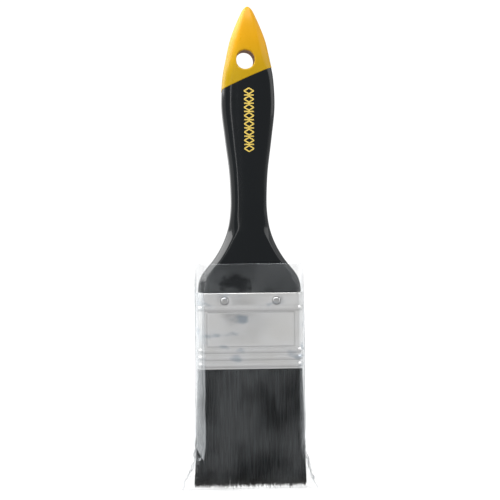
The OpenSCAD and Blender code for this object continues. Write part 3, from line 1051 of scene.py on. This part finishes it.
def filaments(a, b, start_t, segments, radius):
    """Points and faces of tapered tubes rooted at shares a, b of the pack."""
    count = len(a)
    a, b = round_off(a, b)
    clump_x = np.round(a * clumps_x).astype(int)
    clump_y = np.round(b * clumps_y).astype(int)
    key = (clump_x * 31 + clump_y * 7) % clump_kinds
    table = rng.normal(size=(clump_kinds, 4))
    drift, sway, longer, gather = table[key].T
    own = rng.normal(size=(count, 4))
    length = 1 + (clump_longer * longer + own_longer * own[:, 0] - trimmed) * mm / bristle_len
    middle_a = clump_x / clumps_x
    t = start_t[:, None] + (length - start_t)[:, None] * np.linspace(0, 1, segments + 1)
    half_x, half_y = pack_half_at(t)
    gathered = np.clip(gather_mean + gather_vary * gather, 0, gather_most)
    pull = gathered[:, None] * np.clip(t, 0, 1) ** 3
    x = (a[:, None] + (middle_a - a)[:, None] * pull) * half_x
    y = b[:, None] * half_y
    bend = np.clip(t, 0, 1) ** 2
    x += (clump_drift * drift + own_drift * own[:, 1])[:, None] * mm * bend
    x += np.sin(t * 5 + sway[:, None] * 2) * sway_h * mm * bend
    y += (own_depth_drift * own[:, 2])[:, None] * mm * bend
    z = ferrule_mouth - t * bristle_len
    size = radius * (1 - taper * np.clip(t, 0, 1) ** 2.5)
    turn = rng.uniform(0, 2 * math.pi, count)[:, None]
    sides = 3
    points = np.empty((count, segments + 1, sides, 3))
    for k in range(sides):
        angle = turn + 2 * math.pi * k / sides
        points[:, :, k, 0] = axis_x + x + size * np.cos(angle)
        points[:, :, k, 1] = y + size * np.sin(angle)
        points[:, :, k, 2] = z
    ring = np.arange(count * (segments + 1) * sides).reshape(count, segments + 1, sides)
    upper, lower = ring[:, :-1], ring[:, 1:]
    quads = np.stack([upper, np.roll(upper, -1, 2), np.roll(lower, -1, 2), lower], -1)
    tips = ring[:, -1]
    return points.reshape(-1, 3), quads.reshape(-1, 4).tolist() + tips.tolist()


# %% [markdown]
# ## Black filament
# Each filament is matt black with a faint streak along it. The ends are worn to a warm grey by
# the trimming. The index of refraction is set low, because a packed head traps most of the light
# that separate filaments would send back.

# %% Filament material
worn_end = (0.078, 0.070, 0.062)


def black_filament(name, low, high):
    """Streaks between two greys, the paler one a little blue, and worn ends."""
    material, shader, add, link = new_material(name)
    streak = noise_at(add, link, 1900, (1, 1, 0.015), 3)
    tone = ramp(add, link, streak, (0.42, (low, low, low)), (0.66, (high, 1.15 * high, 1.25 * high)))
    worn = add("ShaderNodeMix", data_type="RGBA")
    worn.inputs["B"].default_value = (*worn_end, 1)
    link(along_z(add, link, bristle_tip + 6 * mm, bristle_tip - 1.5 * mm), worn.inputs["Factor"])
    link(tone, worn.inputs["A"])
    link(worn.outputs["Result"], shader.inputs["Base Color"])
    link(spread(add, link, streak, 0.4, 0.6), shader.inputs["Roughness"])
    shader.inputs["IOR"].default_value = 1.16
    return material


# %% Layers of filaments
row_count, side_row_count, inner_count = 300, 36, 2600
row_end = 0.995
side_rows = (-0.985, -0.97, 0.97, 0.985)
front_rows = (-0.985, -0.955, -0.92, -0.88)
back_rows = tuple(-b for b in front_rows)
layer_edge = 0.34
root_t, inner_t = -0.04, 0.72
long_r, inner_r = 0.105 * mm, 0.11 * mm


def make_layer(node, low_b, high_b, face_rows):
    """The filaments of one layer: full length on the outside, tips only on the inside."""
    surface_a, surface_b = [], []
    for b in face_rows:
        across = np.linspace(-row_end, row_end, row_count)
        surface_a.append(across + rng.normal(size=row_count) * 0.0015)
        surface_b.append(np.full(row_count, b) + rng.normal(size=row_count) * 0.006)
    for side in side_rows:
        count = int(side_row_count * (high_b - low_b))
        surface_a.append(np.full(count, side) + rng.normal(size=count) * 0.004)
        surface_b.append(rng.uniform(low_b, high_b, count))
    long_a, long_b = np.concatenate(surface_a), np.concatenate(surface_b)
    inner = int(inner_count * (high_b - low_b))
    inner_a = rng.uniform(-0.99, 0.99, inner)
    inner_b = rng.uniform(low_b, high_b, inner)
    points, faces = filaments(long_a, long_b, np.full(len(long_a), root_t), 9, long_r)
    tip_points, tip_faces = filaments(inner_a, inner_b, np.full(inner, inner_t), 3, inner_r)
    faces += [tuple(i + len(points) for i in face) for face in tip_faces]
    layer = mesh_object(node.replace("bristle", "filaments"), np.vstack([points, tip_points]),
                        faces, [filament])
    print(f"{len(long_a)} whole filaments and {inner} tips")
    place(layer, "brush", "black_filament", node)


filament = black_filament("black_filament", 0.0006, 0.036)
make_layer("bristle_front", -1.0, -layer_edge, front_rows)
make_layer("bristle_middle", -layer_edge, layer_edge, ())
make_layer("bristle_back", layer_edge, 1.0, back_rows)

# %% [markdown]
# ## The dark core
# Between the filaments of a real head there are only more filaments. Here one plain body stands
# for all of those, a little smaller than the pack and ending short of the tips, where it draws
# in. It is darker than the filaments, so that the gaps between them look deep.

# %% Dark core
core_levels = [-0.27, -0.02, 0.0, 0.1, 0.25, 0.4, 0.55, 0.7, 0.8, 0.86]
core_inset, core_corner_r = 0.55 * mm, 2.2 * mm
core_counts = (40, 8, 5)
draw_in, draw_in_start, draw_in_run = 1.5, 0.7, 0.16
core_ripple = 0.12 * mm


def make_core():
    points = []
    for t in core_levels:
        half_x, half_y = pack_half_at(t)
        shrink = core_inset * (1 + draw_in * max(0, t - draw_in_start) / draw_in_run)
        ring = round_box(half_x - shrink, half_y - shrink, core_corner_r, *core_counts)
        for (x, y), _ in ring:
            ripple = core_ripple * noise.noise(Vector((x * 900, y * 900, t)))
            points.append((axis_x + x, y + ripple, ferrule_mouth - t * bristle_len))
    count = len(ring)
    faces = grid_faces(len(core_levels), count)
    faces.append(tuple(range(count)))
    faces.append(tuple((len(core_levels) - 1) * count + k for k in range(count)))
    core = mesh_object("filament_core", points, faces, [black_filament("core_shade", 0.0005, 0.003)])
    face_outwards(core)
    place(core, "brush", "black_filament")


make_core()

# %% [markdown]
# ## Inside the ferrule
# The spacers and the resin can't be seen once the brush is made, but they are real pieces. The
# solid model's own shapes are right for them, so they keep those and only get a material: bare
# sawn wood, and amber resin.

# %% Spacers and resin
def cured_resin():
    """Cloudy amber."""
    material, shader, add, link = new_material("cured_resin")
    cloud = noise_at(add, link, 200, detail=4)
    link(ramp(add, link, cloud, (0.3, (0.42, 0.24, 0.07)), (0.7, (0.62, 0.40, 0.14))),
         shader.inputs["Base Color"])
    link(bump(add, link, cloud, 0.2 * mm, 0.4), shader.inputs["Normal"])
    shader.inputs["Roughness"].default_value = 0.25
    return material


def dress(node, material):
    """Gives a node of the solid model a material and leaves its shape as it is."""
    data = frame["nodes"][node].data
    data.materials.clear()
    data.materials.append(material)
    print(f"{node}: {material.name}")


sawn_wood = raw_wood("sawn_spacer", (0.62, 0.45, 0.28), (0.42, 0.28, 0.15))
dress("spacer_plug_front", sawn_wood)
dress("spacer_plug_back", sawn_wood)
dress("epoxy_setting", cured_resin())

# %% [markdown]
# ## The film sleeve
# The bag is a flat tube of thin film, welded along the bottom. Over the head it takes the
# brush's round-cornered section. From half way down the bristles it closes like a pillow and
# widens to its flat width at the weld. The grid follows that, and creases are pushed into it:
# long soft ones along the sides, and crumpled ones in the two lower corners, where the film has
# nothing to lie on.

# %% Film shape
film_clear = 0.35 * mm
tube_x = wall_half_x + bead_h + 0.1 * mm
tube_y = wall_half_y + proud + film_clear
flat_half = (sleeve_high.x - sleeve_low.x) / 2 - 0.15 * mm
film_r, film_r_share = 4.8 * mm, 0.95
film_t, film_row_gap = 0.06 * mm, 0.6 * mm
film_counts = (90, 16, 10)
deepest = 0.2 * mm
weld_h, weld_gap = 1.0 * mm, 0.05 * mm
flare_start = bristle_tip + 28 * mm
print(f"tube {2 * tube_x / mm:.1f} mm wide, {2 * flat_half / mm:.1f} mm where it lies flat")


def tube_half(z):
    """Half width and half thickness of the tube of film at a level."""
    s = min(1.0, max(0.0, (flare_start - z) / (flare_start - sleeve_low.z - weld_h)))
    return mix(tube_x, flat_half, s**2.7), max(weld_gap, tube_y * (1 - s**3) ** 0.35)


def tube_corner(half_y):
    """The radius of the tube's corners, which has to shrink where the tube goes flat."""
    return min(film_r, half_y * film_r_share)


# %% Creases
# All in millimetres. Each side crease has its place across, its lean and its height.
side_creases = ((-21.6, 0.006, 0.35), (22.9, -0.004, 0.3), (-24.2, -0.01, 0.25))
crease_level, crease_wander, crease_half = 150, 0.25, 0.45
outer_start, outer_run = 17, 7
soft_middle, soft_outer = 0.12, 0.2
fold_from, fold_h = 0.6, 1.1
crumple_start, crumple_run, crumple_h = 30, 24, 2.1


def crease(x, y, z):
    """How far the film stands out at a place, with x from the centre line."""
    here = Vector((x, y, z)) / mm
    outer = smoothstep((abs(here.x) - outer_start) / outer_run)
    soft = noise.noise(Vector((here.x / 15, here.y / 7, here.z / 24)))
    soft *= mix(soft_middle, soft_outer, outer)
    folds = 1 - abs(noise.noise(Vector((here.x / 3.2, here.y / 3.5, here.z / 40 + 7)))) * 2
    long_folds = max(0.0, folds - fold_from) * fold_h * outer
    ridge = 0.0
    for x_0, lean, height in side_creases:
        line = x_0 + lean * (here.z + crease_level) + crease_wander * math.sin(here.z / 6)
        away = (here.x - line) / crease_half
        ridge += height * math.exp(-away * away)
    low = smoothstep((bristle_tip / mm + crumple_start - here.z) / crumple_run)
    crumple = noise.noise(here / 4.2 + Vector((3, 1, 9))) + 0.6 * noise.noise(here / 1.9)
    at_weld = smoothstep((here.z - sleeve_low.z / mm - 1) / 5)
    return (soft + long_folds + ridge + crumple_h * crumple * low * outer) * mm * at_weld


# %% [markdown]
# ## Clear film
# Film this thin has almost no colour of its own. What shows of it is its reflection, a little
# haze, and more of both where it is seen edge on. Above the ferrule it stands off the brush and
# looks milkier, except in one patch where it clings to the lacquer. The shader is therefore a
# bright mirror that is nearly transparent, and the nodes decide how nearly.

# %% Film material
loose_haze = 0.030
edge_power, edge_gain = 5.0, 0.9
cling_place = (axis_x - 7.4 * mm, 0, ferrule_top + 5.0 * mm)
cling_scale = (1 / (8.5 * mm), 0, 1 / (3.8 * mm))
cling_start, cling_end, cling_clear, cling_ragged = 1.5, 2.1, 0.15, 1.8


def cling_patch(add, link):
    """Less than 1 where the film clings to the lacquer and loses its haze, with a ragged edge."""
    here = add("ShaderNodeTexCoord").outputs["Object"]
    size = distance_from(add, link, here, cling_place, cling_scale)
    ragged = add("ShaderNodeMath", operation="MULTIPLY_ADD")
    ragged.inputs[1].default_value = cling_ragged
    link(noise_at(add, link, 260, detail=2), ragged.inputs[0])
    link(size, ragged.inputs[2])
    return spread(add, link, ragged.outputs[0], cling_clear, 1.0, cling_start, cling_end, "SMOOTHSTEP")


def clear_film(name="clear_film", haze_and_reflection=(0.015, 0.058), metallic=0.85):
    """Thin film shows as its reflection and a little haze, stronger where it is seen edge on."""
    material, shader, add, link = new_material(name)
    facing = add("ShaderNodeLayerWeight", Blend=0.5)
    steep = add("ShaderNodeMath", operation="POWER")
    steep.inputs[1].default_value = edge_power
    link(facing.outputs["Facing"], steep.inputs[0])
    below_mouth = along_z(add, link, sleeve_high.z - 2 * mm, ferrule_top + 1 * mm)
    # Soft patches of more and less haze stand in for dim reflections in the film: painted reflection
    # over the film's own haze.
    patches = spread(add, link, noise_at(add, link, 60, (1, 1, 0.8), 2), *haze_and_reflection, 0.36, 0.64)
    milky = add("ShaderNodeMath", operation="MULTIPLY_ADD")
    milky.inputs[1].default_value = loose_haze
    link(along_z(add, link, ferrule_top - 1 * mm, ferrule_top + 3 * mm), milky.inputs[0])
    link(patches, milky.inputs[2])
    alpha = add("ShaderNodeMath", operation="MULTIPLY_ADD", use_clamp=True)
    link(steep.outputs[0], alpha.inputs[0])
    link(times(add, link, below_mouth, edge_gain), alpha.inputs[1])
    link(times(add, link, milky.outputs[0], cling_patch(add, link)), alpha.inputs[2])
    link(alpha.outputs[0], shader.inputs["Alpha"])
    shader.inputs["Base Color"].default_value = (0.87, 0.91, 0.94, 1)
    shader.inputs["Metallic"].default_value = metallic
    link(spread(add, link, noise_at(add, link, 300), 0.07, 0.15), shader.inputs["Roughness"])
    fine = bump(add, link, noise_at(add, link, 220, (1, 1, 0.5), 3), 0.12 * mm, 0.16)
    link(fine, shader.inputs["Normal"])
    return material


# %% Make the sleeve
def make_sleeve():
    levels = steps(sleeve_high.z, sleeve_low.z + weld_h, film_row_gap)
    levels += [sleeve_low.z + weld_h * k / 3 for k in (2, 1, 0)]
    points = []
    for z in levels:
        half_x, half_y = tube_half(z)
        ring = round_box(half_x, half_y, tube_corner(half_y), *film_counts)
        for (x, y), out in ring:
            rise = max(-deepest, crease(x, y, z))
            points.append((axis_x + x + out[0] * rise, y + out[1] * rise, z))
    film = mesh_object("film_bag", points, grid_faces(len(levels), len(ring)), [clear_film()])
    sheet = film.modifiers.new("film", "SOLIDIFY")
    sheet.thickness = film_t
    sheet.offset = 1
    place(film, "sleeve", "clear_film", "film_sleeve")


make_sleeve()

# %% [markdown]
# ## The folded sides
# The bag is wider than the brush, so its spare width lies folded along both sides. A fold is
# three sheets on top of each other. It looks milky next to the single sheet, and its edge
# wanders. Three sheets a hair apart would cut through each other as soon as they were rumpled,
# so each fold here is one narrow sheet laid on the bag's front corner, with a hazier material.

# %% Folds
fold_columns, fold_end_rows, end_width = 14, 9, 0.8
fold_gap, fold_lift, fold_edge = 0.12 * mm, 0.16 * mm, 0.3 * mm
wander_h, wander_len = 0.22 * mm, 9 * mm
rumple_h, rumple_len = 0.16 * mm, 2.2 * mm
fine_h, fine_len = 0.10 * mm, 0.9 * mm
shard_h, shard_len = 0.9 * mm, 1.5 * mm
loose_run, loose_gain = 9 * mm, 2.5
crumpled_run, slant_drop = 11 * mm, 6 * mm


def make_fold(name, side, width, top, end, haze_and_reflection):
    """A sheet round the front corner, with a wandering edge and a crumpled, slanted lower end."""
    levels = steps(top, end, film_row_gap)
    points = []
    for i, z in enumerate(levels):
        half_x, half_y = tube_half(z)
        near_end = smoothstep(min(i, len(levels) - 1 - i) / fold_end_rows)
        wander = noise.noise(Vector((side, 3, z / wander_len))) * wander_h
        reach = (width + wander) * mix(end_width, 1.0, near_end)
        r = tube_corner(half_y)
        loose = 1 + loose_gain * smoothstep(1 - (z - end) / loose_run)
        at_end = smoothstep((end + crumpled_run - z) / crumpled_run)
        for j in range(fold_columns + 1):
            inward = reach * j / fold_columns
            over = max(0.0, r - inward)
            y = half_y - r + math.sqrt(max(0.0, r * r - over * over))
            x = side * (half_x + fold_gap - inward)
            rumple = noise.noise(Vector((x, 7 * side * mm, z)) / rumple_len) * rumple_h * loose
            rumple += fold_edge * line_at(j - fold_columns + 1, 3)
            rumple += noise.noise(Vector((x, 9 * mm, z / 8)) / fine_len) * fine_h
            shard = abs(noise.noise(Vector((x, 5 * mm, z)) / shard_len))
            rumple += shard_h * shard * at_end
            drop = slant_drop * at_end * j / fold_columns
            points.append((axis_x + x, -(y + fold_lift + rumple), z - drop))
    fold = mesh_object(name, points, grid_faces(len(levels), fold_columns + 1, closed=False),
                       [clear_film(name, haze_and_reflection, metallic=0.35)])
    place(fold, "sleeve", "clear_film")


fold_top = ferrule_top + 0.5 * mm
# The left fold gets far more haze than the right: the folded film's own milkiness, plus painted
# reflection of the stronger lamps on the left.
make_fold("film_fold_left", -1, 4.1 * mm, fold_top, ferrule_mouth - 37 * mm, (0.26, 0.44))
make_fold("film_fold_right", 1, 2.9 * mm, fold_top, ferrule_mouth - 33 * mm, (0.06, 0.14))
